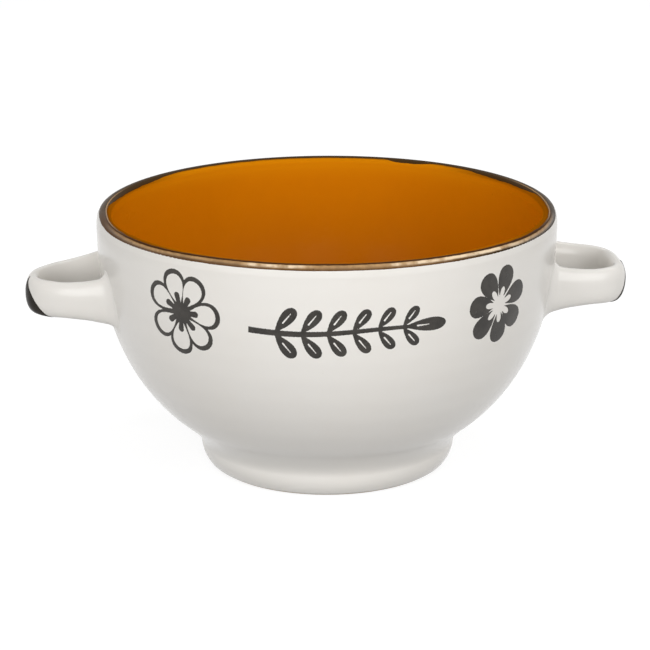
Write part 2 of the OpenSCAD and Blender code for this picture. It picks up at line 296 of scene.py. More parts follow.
def outside_line(b):
    """The outside from the bare edge up the foot, cove and wall to the start of the lip."""
    start, bottom, top = b.foot_height - COVE_OVERLAP, b.foot_height + b.cove_height, wall_top(b)
    foot = profile(foot_radius_at, b, b.bare + (start - b.bare) * np.linspace(0, 1, 34) ** 1.7)
    # The cove starts along the foot and ends along the wall, with no crease
    end = outside_radius(b, bottom)
    slope = (outside_radius(b, bottom + STEP) - end) / STEP
    corner = np.array([b.foot_radius, bottom - (end - b.foot_radius) / slope])
    cove = bent(foot[-1], corner, np.array([end, bottom]), 30)
    u = np.linspace(0, 1, 84)[1:]
    wall = profile(outside_radius, b, bottom + (top - bottom) * (0.6 * u + 0.4 * u * u))
    return np.concatenate([foot, cove, wall])


def inside_line(b):
    """The inside from under the lip down the wall and along the floor to the middle."""
    bore, top, floor = b.rim_radius - b.lip, b.height - b.lip, b.recess + b.floor
    a = np.linspace(0, math.pi / 2, 90)[1:]
    share = 2 / INSIDE_ROUND
    line = np.stack([bore * np.maximum(0.0, np.cos(a)) ** share,
                     top - (top - floor) * np.sin(a) ** share], -1)
    line[-1] = (0.0, floor)
    return line


# Making pieces

def add_piece(name, points, faces, material, slot, nodes, recalculate=True):
    """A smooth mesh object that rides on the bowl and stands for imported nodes."""
    mesh = bpy.data.meshes.new(name)
    mesh.from_pydata([tuple(map(float, p)) for p in points], [], faces)
    work = bmesh.new()
    work.from_mesh(mesh)
    if recalculate:
        bmesh.ops.recalc_face_normals(work, faces=work.faces)
    bmesh.ops.delete(work, geom=[v for v in work.verts if not v.link_faces], context="VERTS")
    work.to_mesh(mesh)
    work.free()
    mesh.shade_smooth()
    mesh.materials.append(material)
    piece = bpy.data.objects.new(name, mesh)
    bpy.context.scene.collection.objects.link(piece)
    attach(piece, "root")
    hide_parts(*nodes)
    return piece


def turn(name, rings, material, slot, nodes):
    """A closed section turned round the axis; rings[i][j] is its point j at step i."""
    steps, count = rings.shape[:2]
    angles = 2 * math.pi * np.arange(steps) / steps
    points, first, poles = [], [], []
    for j in range(count):
        r, z = rings[:, j].T
        first.append(len(points))
        poles.append(bool(np.all(r <= 1e-9)))
        if poles[-1]:
            points.append((0.0, 0.0, z[0]))
        else:
            points.extend(zip(r * np.cos(angles), r * np.sin(angles), z))
    faces = []
    for j in range(count):
        k = (j + 1) % count
        if poles[j] and poles[k]:
            continue
        for i in range(steps):
            n = (i + 1) % steps
            if poles[j]:
                faces.append((first[j], first[k] + n, first[k] + i))
            elif poles[k]:
                faces.append((first[j] + i, first[j] + n, first[k]))
            else:
                faces.append((first[j] + i, first[j] + n, first[k] + n, first[k] + i))
    return add_piece(name, points, faces, material, slot, nodes)


def even_rings(section, steps):
    return np.repeat(np.array(section)[None], steps, axis=0)


# The turned pieces

# The clay foot: where its side starts over the table, how deep it lies where it is bare and under
# the glaze, its edge as points inwards and up in millimetres, and its inside's highest and lowest
# points under the body and over the table
FOOT_LIFT = 0.12 * MM
BARE_SKIN = 0.04 * MM
BARE_FADE = 0.4 * MM
CLAY_DEPTH_SHARE = 0.92
FOOT_EDGE_POINTS = ((1.2, 0.0), (0.6, 0.01), (0.15, 0.05))
INSIDE_TOP, INSIDE_LOW = 0.4 * MM, 1.0 * MM

# The white coat: its rolled lower edge, where it joins the lip and ends under the brown in degrees,
# how deep it lies there, and how its lower edge wavers in millimetres
LOWER_ROLL = 0.5 * MM
LOWER_DEPTH = 0.42 * MM
JOIN_ANGLE, WHITE_END_ANGLE = 12, 58
UNDER_LAP = 0.1 * MM
LAP_DEGREES = 9
FOOT_WAVES = ((5, 0.06, 0.3), (13, 0.05, 1.7), (29, 0.03, 0.9), (47, 0.02, 2.2))
FOOT_WAVE_HEIGHT = 2.5 * MM

# The recess's coat: the radius of its bend, its lower edge, how that edge is tucked under and into
# the clay, and a hair's breadth into the clay for its back
RECESS_BEND = 1.6 * MM
RECESS_EDGE = 1.3 * MM
EDGE_DIP, EDGE_TUCK, EDGE_RISE = 0.15 * MM, 0.06 * MM, 0.1 * MM
HAIR = 0.02 * MM

# The orange liner's angles round the lip and down its inside, as first, last and count in degrees,
# and the run over which it comes up to full height
LINER_ANGLES = (66, 180, 46)
LINER_INSIDE_ANGLES = (184, 236, 8)
LINER_FADE = 1.6 * MM

# The lip's glazes slide this many degrees outwards at the front, over this share of a radius,
# and this many more at the front's left and right
LIP_LEAN = 34.0
LEAN_SPAN = 0.6
SIDE_LEAN = 11.0
SIDE_START, SIDE_END, SIDE_FRONT = 0.45, 0.8, 0.35

# The brown band's edges in degrees before they slide, how far the inner one lies further in at the
# back, where it has run down (place, width and run), and how both edges waver and are rolled
BROWN_OUTER, BROWN_INNER = 40, 114
BROWN_BACK, BROWN_BACK_SPAN = 8, 0.3
BROWN_RUNS = ((25, 15, 28), (61, 6, 24), (154, 17, 30))
OUTER_WAVES = ((3, 0.9, 1.0), (8, 0.8, 2.1), (19, 0.8, 0.2), (37, 0.7, 1.3), (61, 0.6, 2.9),
               (97, 0.4, 0.7))
INNER_WAVES = ((9, 0.8, 1.1), (23, 1.0, 2.4), (41, 1.0, 0.1), (67, 0.8, 1.6), (103, 0.6, 2.0))
BROWN_ROLL = 10
BROWN_EDGE_DEPTH = 0.12 * MM
BROWN_BACK_DEPTH = 0.42 * MM


def foot_section(b):
    """The clay foot: sunk under the glaze, bare at the table, and hollow under the bowl."""
    heights = FOOT_LIFT + (b.recess - FOOT_LIFT) * np.linspace(0, 1, 40) ** 2
    under = smooth((heights - b.bare) / BARE_FADE)
    depth = b.glaze * CLAY_DEPTH_SHARE
    outer = sunk(profile(foot_radius_at, b, heights), BARE_SKIN + (depth - BARE_SKIN) * under)
    outer[-1] = (foot_radius_at(b, b.recess) - depth, b.recess)
    low = foot_radius_at(b, 0.0)
    edge = [(low - inwards * MM, up * MM) for inwards, up in FOOT_EDGE_POINTS]
    heights = [b.recess, *np.linspace(b.recess - INSIDE_TOP, INSIDE_LOW, 10)]
    inside = profile(recess_radius, b, np.array(heights))
    a = np.radians(np.linspace(170, 270, 9))
    corner = np.stack([recess_radius(b, FOOT_CORNER) + FOOT_CORNER * (1 + np.cos(a)),
                       FOOT_CORNER * (1 + np.sin(a))], -1)
    flat = [(r, 0.0) for r in np.linspace(corner[-1, 0], edge[0][0], 8)[1:-1]]
    return np.concatenate([edge, outer, inside, corner, flat])


def wall_rings(b):
    """The white coat from its wavering lower edge up to the lip, which it joins with no groove."""
    wall = outside_line(b)
    angles = np.linspace(JOIN_ANGLE, WHITE_END_ANGLE, 24)
    lip = lip_point(b, angles, 0.0)
    tangent = math.tan(math.radians(JOIN_ANGLE))
    corner = np.array([wall[-1, 0], lip[0, 1] - (wall[-1, 0] - lip[0, 0]) / tangent])
    line = np.concatenate([wall, bent(wall[-1], corner, lip[0], 16)[:-1], lip])
    depth = LOWER_DEPTH * (1 - rolled(run_along(line) / LOWER_ROLL))
    depth[-len(lip):] += UNDER_LAP * smooth((angles - JOIN_ANGLE) / LAP_DEGREES)
    rings = even_rings(np.concatenate([sunk(line, depth), sunk(line, COAT_BACK)[::-3]]), b.around)
    rise = waves(2 * math.pi * np.arange(b.around) / b.around, FOOT_WAVES) * MM
    near = np.clip(1 - (rings[0, :, 1] - b.bare) / FOOT_WAVE_HEIGHT, 0, 1) ** 2
    lifted = rings[..., 1] + rise[:, None] * near
    moved = foot_radius_at(b, lifted) - foot_radius_at(b, rings[..., 1])
    rings[..., 0] += np.where(near > 0, moved, 0.0)
    rings[..., 1] = lifted
    return rings


def recess_section(b):
    """The coat in the recess: flat under the floor, then bent down the foot's inside."""
    top, low = recess_radius(b, b.recess), recess_radius(b, RECESS_EDGE)
    face, inner = b.recess - b.glaze, top - b.glaze - RECESS_BEND
    quarter = np.linspace(0, math.pi / 2, 12)[1:]
    flat = [(r, face) for r in np.linspace(0, inner, 26)]
    bend = [(inner + RECESS_BEND * math.sin(a), face - RECESS_BEND * (1 - math.cos(a))) for a in quarter]
    side = [(low - b.glaze + (top - low) * t, RECESS_EDGE + (face - RECESS_BEND - RECESS_EDGE) * t)
            for t in np.linspace(1, 0, 12)[1:]]
    edge = [(low - b.glaze / 2, RECESS_EDGE - EDGE_DIP), (low + EDGE_TUCK, RECESS_EDGE + EDGE_RISE)]
    back = [(top + HAIR, b.recess - HAIR), (0.0, b.recess - HAIR)]
    return np.array(flat + bend + side + edge + back)


def liner_section(b):
    """The orange coat from under the brown, down the inside to the middle of the floor."""
    angles = np.concatenate([np.linspace(*LINER_ANGLES), np.linspace(*LINER_INSIDE_ANGLES)])
    line = np.concatenate([lip_point(b, angles, 0.0), inside_line(b)])
    run = run_along(line)
    past = run - run[LINER_ANGLES[2] - 1]
    front = sunk(line, UNDER_LAP * (1 - smooth((past - UNDER_LAP) / LINER_FADE)))
    back = sunk(line, COAT_BACK)
    return np.concatenate([front, back[-1:], back[-4::-3]])


def lean(around):
    """How far in degrees the lip's glazes have slid outwards: most at the front."""
    more = smooth((np.abs(np.cos(around)) - SIDE_START) / (SIDE_END - SIDE_START))
    more *= smooth(-np.sin(around) / SIDE_FRONT)
    return LIP_LEAN * smooth(-np.sin(around) / LEAN_SPAN) + SIDE_LEAN * more


def brown_rings(b):
    """The brown band over the lip, with wavering edges that have run down here and there."""
    steps = b.around * 2
    around = 2 * math.pi * np.arange(steps) / steps
    outer = BROWN_OUTER - lean(around) + waves(around, OUTER_WAVES)
    inner = BROWN_INNER - lean(around) + BROWN_BACK * smooth(np.sin(around) / BROWN_BACK_SPAN)
    for middle, width, run in BROWN_RUNS:
        inner += run * np.exp(-((np.degrees(around) - middle) / width) ** 4)
    inner += waves(around, INNER_WAVES)
    u = (1 - np.cos(np.linspace(0, math.pi, 44))) / 2
    rings = []
    for start, end in zip(outer, inner):
        a = start + (end - start) * u
        edge = np.minimum(a - start, end - a)
        front = lip_point(b, a, BROWN_EDGE_DEPTH * (1 - rolled(edge / BROWN_ROLL)))
        rings.append(np.concatenate([front, lip_point(b, a[::-5], BROWN_BACK_DEPTH)]))
    return np.array(rings)


# Lugs

# How square the strap's section and each lug's loop are
SECTION_ROUND = 2.2
LEFT_LOOP, RIGHT_LOOP = 2.1, 3.4

# Where a strap starts inside the wall, over which share of its run it is thicker, and by how much
ROOT_SHARE = 0.885
ROOT_RUN_SHARE = 0.7
ROOT_THICKENING = 0.45

# The strap's unevenness as waves along x, y and z with a phase, and where it starts at the wall
STRAP_WAVES = ((310, 190, 260, 0.4), (170, 420, 90, 1.9), (520, 610, 450, 2.7))
LEFT_WAVE_SHARE = 1.2
WAVER_START = 3 * MM
END_SINK = 0.4 * MM

# A short turn along the loop for measuring its direction
LOOP_STEP = 0.004


def bulge(v, squareness):
    return np.sign(v) * np.abs(v) ** (2.0 / squareness)


def pushed(p, share):
    """Points moved to a share of their distance from the axis."""
    return p * np.stack([share, share, np.ones_like(share)], -1)


class Strap:
    """The swept strap of one lug, worked out as if it were the right one."""

    def __init__(self, s, mirror):
        self.bowl, self.lugs, self.mirror = s.bowl, s.lugs, mirror
        self.loop = LEFT_LOOP if mirror else RIGHT_LOOP
        self.droop = s.lugs.left_droop if mirror else s.lugs.right_droop
        self.x0 = s.bowl.rim_radius * ROOT_SHARE
        self.run = s.lugs.reach - s.lugs.thickness / 2 - self.x0

    def placed(self, p):
        """Points or directions on the lug's own side of the bowl."""
        return p * np.array([-1.0, 1.0, 1.0]) if self.mirror else p

    def growth(self, x):
        return np.maximum(0.0, 1 - (x - self.x0) / (self.run * ROOT_RUN_SHARE)) ** 2

    def middle(self, a):
        x = self.x0 + self.run * bulge(np.cos(a), self.loop)
        y = np.sign(np.sin(a)) * (self.lugs.width / 2 * np.abs(bulge(np.sin(a), self.loop))
                                  + self.lugs.flare * self.growth(x))
        return np.stack([x, y], -1)

    def surface(self, a, b):
        """Points and outward normals at loop angles a and section angles b."""
        top = math.pi / 2
        way = self.middle(np.minimum(top, a + LOOP_STEP)) - self.middle(np.maximum(-top, a - LOOP_STEP))
        way /= np.linalg.norm(way, axis=-1, keepdims=True)
        out = np.stack([way[..., 1], -way[..., 0]], -1)
        p = self.middle(a)
        g = self.growth(p[..., 0])
        half_t = self.lugs.thickness / 2 * (1 + ROOT_THICKENING * g)
        half_h = (self.lugs.strap_height
                  + (self.lugs.root_height - self.lugs.strap_height) * g) / 2
        cu, cv = bulge(np.cos(b), SECTION_ROUND), bulge(np.sin(b), SECTION_ROUND)
        u, v = half_t * cu, half_h * cv
        x = p[..., 0] + out[..., 0] * u
        y = p[..., 1] + out[..., 1] * u
        z = (self.bowl.height - self.lugs.drop + v
             - self.droop * (x - self.x0) / self.run)
        nu = np.sign(cu) * np.abs(cu) ** (SECTION_ROUND - 1) / half_t
        nv = np.sign(cv) * np.abs(cv) ** (SECTION_ROUND - 1) / half_h
        size = np.sqrt(nu * nu + nv * nv)
        nu, nv = nu / size, nv / size
        points = np.stack([x, y, z], -1)
        normals = np.stack([out[..., 0] * nu, out[..., 1] * nu, nv], -1)
        return points, normals

    def wall_gap(self, p):
        """How far points stand out from the wall, square to it, and the wall's radial way."""
        radial = 1 / np.sqrt(1 + outside_slope(self.bowl, p[..., 2]) ** 2)
        out = np.hypot(p[..., 0], p[..., 1]) - outside_radius(self.bowl, p[..., 2])
        return out * radial, radial


def section_angles(count, aspect):
    """Section angles that space points evenly round the strap's rounded oblong."""
    b = np.linspace(0, 2 * math.pi, 4001)
    run = run_along(np.stack([aspect * bulge(np.cos(b), SECTION_ROUND),
                              bulge(np.sin(b), SECTION_ROUND)], -1))
    return np.interp(np.arange(count) * run[-1] / count, run, b)


def strap_grid(strap, sides=72, middle_steps=110, blend_steps=9):
    """The strap from wall to wall: rings of points that meet the wall in a smooth blend."""
    lugs = strap.lugs
    angles = section_angles(sides, lugs.thickness / lugs.strap_height)
    a = np.linspace(-math.pi / 2, math.pi / 2, 1600)
    table, normals = strap.surface(a[:, None], angles[None, :])
    gap, _ = strap.wall_gap(table)
    turnings = np.linspace(math.pi / 2, 0, blend_steps)
    depth = lugs.blend * (1 - np.sin(turnings))
    shift = lugs.blend * (1 - np.cos(turnings))
    wanted = np.concatenate([depth, np.full(middle_steps, np.nan), depth[::-1]])
    sideways = np.concatenate([shift, np.zeros(middle_steps), shift[::-1]])
    held = ~np.isnan(wanted)
    rings = np.zeros((len(wanted), sides, 3))
    half = len(a) // 2
    for k in range(sides):
        line, face, g = table[:, k], normals[:, k], gap[:, k]
        front = np.interp(depth, np.maximum.accumulate(g[:half]), a[:half])
        back = np.interp(depth, np.maximum.accumulate(g[half:][::-1]), a[half:][::-1])
        run = run_along(line)
        ends = np.interp((front[-1], back[-1]), a, run)
        middle = np.interp(np.linspace(*ends, middle_steps + 2)[1:-1], run, a)
        places = np.concatenate([front, middle, back[::-1]])
        for c in range(3):
            rings[:, k, c] = (np.interp(places, a, line[:, c])
                              + sideways * np.interp(places, a, face[:, c]))
        p = rings[held, k]
        for _ in range(3):
            now, radial = strap.wall_gap(p)
            p = pushed(p, 1 + (wanted[held] - now) * radial / np.hypot(p[:, 0], p[:, 1]))
        rings[held, k] = p
    return rings


def add_lug(name, strap, material):
    rings = strap_grid(strap)
    inward = rings.mean(axis=1, keepdims=True) - rings
    inward /= np.maximum(np.linalg.norm(inward, axis=2, keepdims=True), 1e-9)
    gap, _ = strap.wall_gap(rings)
    x, y, z = np.moveaxis(rings, -1, 0)
    side_share = LEFT_WAVE_SHARE if strap.mirror else 1.0
    waver = sum(np.sin(x * fx + y * fy * side_share + z * fz + phase) for fx, fy, fz, phase in STRAP_WAVES)
    waver = (waver / len(STRAP_WAVES) + 1) / 2 * strap.lugs.unevenness * smooth(gap / WAVER_START)
    rings = rings + inward * waver[..., None]
    # A last ring sunk into the wall closes each end out of sight
    ends = [pushed(ring, 1 - END_SINK / np.hypot(ring[:, 0], ring[:, 1]))[None]
            for ring in (rings[0], rings[-1])]
    rings = strap.placed(np.concatenate([ends[0], rings, ends[1]]))
    count, sides = rings.shape[:2]
    faces = [(i * sides + k, i * sides + (k + 1) % sides,
              (i + 1) * sides + (k + 1) % sides, (i + 1) * sides + k)
             for i in range(count - 1) for k in range(sides)]
    faces.append(tuple(range(sides)))
    faces.append(tuple((count - 1) * sides + k for k in range(sides)))
    return add_piece(name, rings.reshape(-1, 3), faces, material, "white_glaze", ["outer_glaze"])


# Prints

# Each petal's direction in degrees and its run as a share of the flower's radius
OUTLINE_PETALS = ((104, 1), (57, 0.985), (2, 1.01), (-48, 0.99), (-98, 1.005), (-148, 0.98), (153, 1))
SOLID_PETALS = ((124, 0.99), (73, 1), (18, 0.985), (-35, 1.005), (-83, 0.99), (-136, 1), (174, 0.98))
STAMEN_SHARES = (0.40, 0.37, 0.38, 0.41, 0.39, 0.37, 0.40)
FLOWER_SPAN_SHARE = 1.06

# The widths of the outline flower's stamens at the heart and at their ends, as shares of its radius
STAMEN_START_SHARE, STAMEN_END_SHARE = 0.07, 0.15

# Each lug petal's place along its loop as a share of the lug's width, its run, width and line as
# shares of the strap's height, and how far round the loop the print's grid reaches
LEFT_PETAL_SHARE, RIGHT_PETAL_SHARE = 0.150, 0.205
PETAL_SHARES = (1.5, 0.85, 0.12)
LUG_PRINT_REACH = math.radians(58)

# The sprig's stem as shares of the sprig's length, height and the stem's width, its leaves, and
# the widths of a leaf's rib as shares of the stem's width
STEM_RUN_SHARE, STEM_WAVE_SHARE = 0.9, 0.04
STEM_START_SHARE, STEM_TAPER_SHARE = 1.05, 0.45
LEAF_PAIRS = 6
LEAF_ANGLE = 52
LEAF_WIDTH_SHARE, LEAF_SHRINK_SHARE = 0.42, 0.25
RIB_END_SHARE, LAST_RIB_START_SHARE = 0.8, 0.45
RIB_WIDTH_SHARES = (0.26, 0.12)

# How deep a print reaches under the glaze, how far its edge strays, and the room round a design
PRINT_DEPTH = 0.12 * MM
RAGGEDNESS = 0.035 * MM
TOP_ROOM = 0.4 * MM
SPRIG_ROOM = 1 * MM


def turned_way(turned):
    return math.cos(math.radians(turned)), math.sin(math.radians(turned))


def inside_polygon(x, y, line):
    """Signed distance from points to a closed outline, positive inside it."""
    far = np.full(x.shape, 1e9)
    odd = np.zeros(x.shape, bool)
    for (x0, y0), (x1, y1) in zip(line, np.roll(line, -1, axis=0)):
        dx, dy = x1 - x0, y1 - y0
        size = dx * dx + dy * dy
        if size < 1e-18:
            continue
        t = np.clip(((x - x0) * dx + (y - y0) * dy) / size, 0, 1)
        far = np.minimum(far, (x - x0 - t * dx) ** 2 + (y - y0 - t * dy) ** 2)
        if abs(dy) > 1e-15:
            odd ^= ((y0 > y) != (y1 > y)) & (x < x0 + (y - y0) * dx / dy)
    return np.where(odd, 1, -1) * np.sqrt(far)


def inside_petal(x, y, run, width, turned, start=0.0, centre=(0.0, 0.0), sharp=1.2):
    """Signed distance to a petal that points away from a centre in a direction in degrees."""
    a = np.linspace(0, 2 * math.pi, 57)[:-1]
    s = np.sin(a / 2)
    peak = 2 * ((sharp + 1) / (sharp + 2)) ** ((sharp + 1) / 2) / math.sqrt(sharp + 2)
    u = start + run * s * s
    v = width / 2 * np.sin(a) * s ** sharp / peak
    c, d = turned_way(turned)
    return inside_polygon(x, y, np.stack([centre[0] + u * c - v * d, centre[1] + u * d + v * c], -1))


def inside_bar(x, y, turned, start, end, width0, width1):
    """Signed distance to a round-ended bar that widens outwards from the centre."""
    c, d = turned_way(turned)
    u, v = x * c + y * d, -x * d + y * c
    t = np.clip((u - start) / (end - start), 0, 1)
    return (width0 + (width1 - width0) * t) / 2 - np.hypot(u - start - t * (end - start), v)


def widest(shapes):
    return np.maximum.reduce(list(shapes))


def outline_flower(x, y, r):
    """The left flower: petals drawn as lines, with dark stamens and heart."""
    line, side, width, heart = r * 0.115, r * 0.14, r * 0.62, r * 0.155
    whole = widest(inside_petal(x, y, r * run, width, turned) for turned, run in OUTLINE_PETALS)
    hollow = widest(inside_petal(x, y, r * run - line - side, r * 0.61 - side, turned, side)
                    for turned, run in OUTLINE_PETALS)
    stamens = widest(inside_bar(x, y, turned, 0, r * reach, r * STAMEN_START_SHARE, r * STAMEN_END_SHARE)
                     for (turned, _), reach in zip(OUTLINE_PETALS, STAMEN_SHARES))
    return widest((np.minimum(whole, -hollow), heart - np.hypot(x, y), stamens))


def solid_flower(x, y, r):
    """The right flower: dark petals with a pale heart and pale stamens left in them."""
    start, width, heart = r * 0.1, r * 0.555, r * 0.15
    dark = widest(inside_petal(x, y, r * run - start, width, turned, start)
                  for turned, run in SOLID_PETALS)
    stamens = widest(inside_petal(x, y, r * 0.46, r * 0.15, turned) for turned, _ in SOLID_PETALS)
    return np.minimum(dark, -np.maximum(heart - np.hypot(x, y), stamens))


def leaf_sprig(x, y, prints):
    """A waved stem with pairs of leaves, each with a pale rib, and a last leaf at its end."""
    run, tall, stem = prints.sprig_length, prints.sprig_height, prints.stem
    stem_run, first = run * STEM_RUN_SHARE, -run / 2
    pitch = stem_run / (LEAF_PAIRS + 1)
    leaf = tall / 2 / math.sin(math.radians(LEAF_ANGLE))

    def stem_y(u):
        return tall * STEM_WAVE_SHARE * np.sin(2 * math.pi * u / run)

    taper = stem / 2 * (STEM_START_SHARE - STEM_TAPER_SHARE * np.clip((x - first) / stem_run, 0, 1))
    past = np.maximum(0, np.maximum(first - x, x - first - stem_run))
    shape = np.where(np.abs(x) <= run / 2, taper - np.hypot(y - stem_y(x), past), -1.0)
    # Each leaf's place, direction, run and width, and the start and end of its rib
    leaves = []
    for i in range(1, LEAF_PAIRS + 1):
        size = leaf * (1 - LEAF_SHRINK_SHARE * i / LEAF_PAIRS)
        width = size * LEAF_WIDTH_SHARE
        leaves += [(first + pitch * i, side * LEAF_ANGLE, size, width, width, size * RIB_END_SHARE)
                   for side in (-1, 1)]
    end = first + stem_run - pitch
    leaves.append((end, 0, run / 2 - end, leaf * LEAF_WIDTH_SHARE, leaf * LAST_RIB_START_SHARE,
                   leaf * RIB_END_SHARE))
    rib_widths = [stem * share for share in RIB_WIDTH_SHARES]
    ribs = np.full(x.shape, -1.0)
    for at, turned, size, width, rib_start, rib_end in leaves:
        centre = (at, float(stem_y(at)))
        shape = np.maximum(shape, inside_petal(x, y, size, width, turned, 0, centre))
        rib = inside_bar(x - centre[0], y - centre[1], turned, rib_start, rib_end, *rib_widths)
        ribs = np.maximum(ribs, rib)
    return np.minimum(shape, -ribs)


def cut_out(name, surface, normals, value, rise, nodes, material):
    """A thin print with softly rounded edges, cut from a grid of surface points."""
    value[0], value[-1], value[:, 0], value[:, -1] = -1, -1, -1, -1
    rows, columns = value.shape
    lift = rise * rolled(value / (3 * rise))
    points, heights, index, faces = [], [], {}, []

    def corner(i, j):
        key = (i, j)
        if key not in index:
            index[key] = len(points)
            points.append((surface[i, j], normals[i, j]))
            heights.append(lift[i, j])
        return index[key]

    def crossing(i, j, k, l):
        key = (i, j, k, l) if (i, j) < (k, l) else (k, l, i, j)
        if key not in index:
            t = value[i, j] / (value[i, j] - value[k, l])
            t = min(0.98, max(0.02, t))
            index[key] = len(points)
            points.append((surface[i, j] * (1 - t) + surface[k, l] * t,
                           normals[i, j] * (1 - t) + normals[k, l] * t))
            heights.append(0.0)
        return index[key]

    for i in range(rows - 1):
        for j in range(columns - 1):
            ring = ((i, j), (i, j + 1), (i + 1, j + 1), (i + 1, j))
            signs = [value[p] > 0 for p in ring]
            if not any(signs):
                continue
            face = []
            for n in range(4):
                p, q = ring[n], ring[(n + 1) % 4]
                if signs[n]:
                    face.append(corner(*p))
                if signs[n] != signs[(n + 1) % 4]:
                    face.append(crossing(*p, *q))
            if len(face) > 2:
                faces.append(tuple(face))
    edge = np.array([p for p, _ in points])
    outward = np.array([n for _, n in points])
    outward /= np.linalg.norm(outward, axis=1, keepdims=True)
    top = edge + outward * np.array(heights)[:, None]
    under = edge - outward * PRINT_DEPTH
    count = len(edge)
    used = {side: None for face in faces for side in zip(face, face[1:] + face[:1])}
    walls = [(q + count, p + count, p + 2 * count, q + 2 * count) for p, q in used if (q, p) not in used]
    floor = [tuple(v + 2 * count for v in reversed(face)) for face in faces]
    every = np.concatenate([top, edge, under])
    return add_piece(name, every, faces + walls + floor, material, "charcoal_print", nodes, False)


def ragged(x, y, seed):
    """The slight raggedness of a print's edge."""
    return RAGGEDNESS * (np.sin(x * 5200 + seed) * np.sin(y * 4700 + 2 * seed)
                         + 0.7 * np.sin(x * 9100 - y * 7900 + seed))


def print_on_wall(node, s, angle, drop, half_width, half_height, draw, material, seed):
    """A flat design laid on the wall at an angle from the front."""
    b, prints = s.bowl, s.prints
    height = b.height - drop
    u = np.arange(-half_width, half_width + prints.cell, prints.cell)
    v = np.arange(-half_height, half_height + prints.cell, prints.cell)
    v = v[height + v < wall_top(b) + TOP_ROOM]
    x, y = np.meshgrid(u, v)
    z = height + y
    r = outside_radius(b, z)
    back = -np.sqrt(r * r - x * x)
    c, d = math.cos(angle), math.sin(angle)
    surface = np.stack([x * c - back * d, x * d + back * c, z], -1)
    normals = np.stack([surface[..., 0] / r, surface[..., 1] / r, -outside_slope(b, z)], -1)
    normals /= np.linalg.norm(normals, axis=-1, keepdims=True)
    value = draw(x, y) + ragged(x, y, seed)
    return cut_out(f"{node}_print", surface, normals, value, prints.rise, [node], material)


def print_on_lug(name, node, strap, prints, along_share, hollow, material, seed=5.0):
    """A petal print round the end of a lug."""
    lugs = strap.lugs
    a = np.linspace(-LUG_PRINT_REACH, LUG_PRINT_REACH, 240)
    angles = section_angles(220, lugs.thickness / lugs.strap_height)
    outer = np.concatenate([angles[angles > math.pi * 1.5] - 2 * math.pi, angles[angles < math.pi / 2]])
    surface, normals = strap.surface(a[:, None], outer[None, :])
    x = surface[..., 1] + lugs.width * along_share
    y = surface[..., 2] - (strap.bowl.height - lugs.drop - strap.droop - prints.petal_drop)
    run, wide, line = (lugs.strap_height * share for share in PETAL_SHARES)
    turned = math.degrees(prints.petal_turn)
    c, d = turned_way(turned)
    centre = (-run / 2 * c, -run / 2 * d)
    value = inside_petal(x, y, run, wide, turned, 0, centre)
    if hollow:
        inner = inside_petal(x, y, run - 3 * line, wide - 2 * line, turned, 2 * line, centre)
        value = np.minimum(value, -inner)
    value = value + ragged(x, y, seed)
    surface, normals = strap.placed(surface), strap.placed(normals)
    if strap.mirror:
        surface, normals, value = surface[::-1], normals[::-1], value[::-1]
    return cut_out(name, surface, normals, value, prints.rise, [node], material)


# Shader nodes

def put(tree, kind, values=None, **options):
    """A new node with its options and the values of its inputs, by name or place."""
    node = tree.nodes.new(kind)
    for key, value in options.items():
        setattr(node, key, value)
    for key, value in (values or {}).items():
        if isinstance(value, bpy.types.NodeSocket):
            tree.links.new(value, node.inputs[key])
        elif node.inputs[key].type == "RGBA" and len(value) == 3:
            node.inputs[key].default_value = (*value, 1.0)
        else:
            node.inputs[key].default_value = value
    return node


def sums(tree, operation, *values):
    return put(tree, "ShaderNodeMath", dict(enumerate(values)), operation=operation).outputs[0]


def times(tree, first, *others):
    for other in others:
        first = sums(tree, "MULTIPLY", first, other)
    return first


def plus(tree, first, *others):
    for other in others:
        first = sums(tree, "ADD", first, other)
    return first


def parts(tree, vector):
    return put(tree, "ShaderNodeSeparateXYZ", {0: vector}).outputs


def blend(tree, share, a, b):
    return put(tree, "ShaderNodeMix", {0: share, 6: a, 7: b}, data_type="RGBA").outputs[2]


def spread(tree, value, low, high, to_low=0.0, to_high=1.0):
    return put(tree, "ShaderNodeMapRange", {0: value, 1: low, 2: high, 3: to_low, 4: to_high},
               interpolation_type="SMOOTHSTEP").outputs[0]


def between(tree, value, zone):
    """1 inside a zone, which is where it starts, where it is full, where it wanes and ends."""
    start, full, wane, end = zone
    return times(tree, spread(tree, value, start, full), spread(tree, value, end, wane))


def noise(tree, vector, scale, detail=3.0, rough=0.5):
    return put(tree, "ShaderNodeTexNoise", {"Vector": vector, "Scale": scale, "Detail": detail,
                                            "Roughness": rough}).outputs["Fac"]


def new_group(name, inputs, output_names):
    """An empty node group with named sockets; returns it and its two ends' sockets."""
    tree = bpy.data.node_groups.new(name, "ShaderNodeTree")
    kinds = {"v": "NodeSocketVector", "c": "NodeSocketColor", "f": "NodeSocketFloat"}
    for key, (kind, value) in inputs.items():
        socket = tree.interface.new_socket(key, in_out="INPUT", socket_type=kinds[kind])
        if value is not None:
            socket.default_value = value
    for key, kind in output_names.items():
        tree.interface.new_socket(key, in_out="OUTPUT", socket_type=kinds[kind])
    return tree, tree.nodes.new("NodeGroupInput").outputs, tree.nodes.new("NodeGroupOutput").inputs


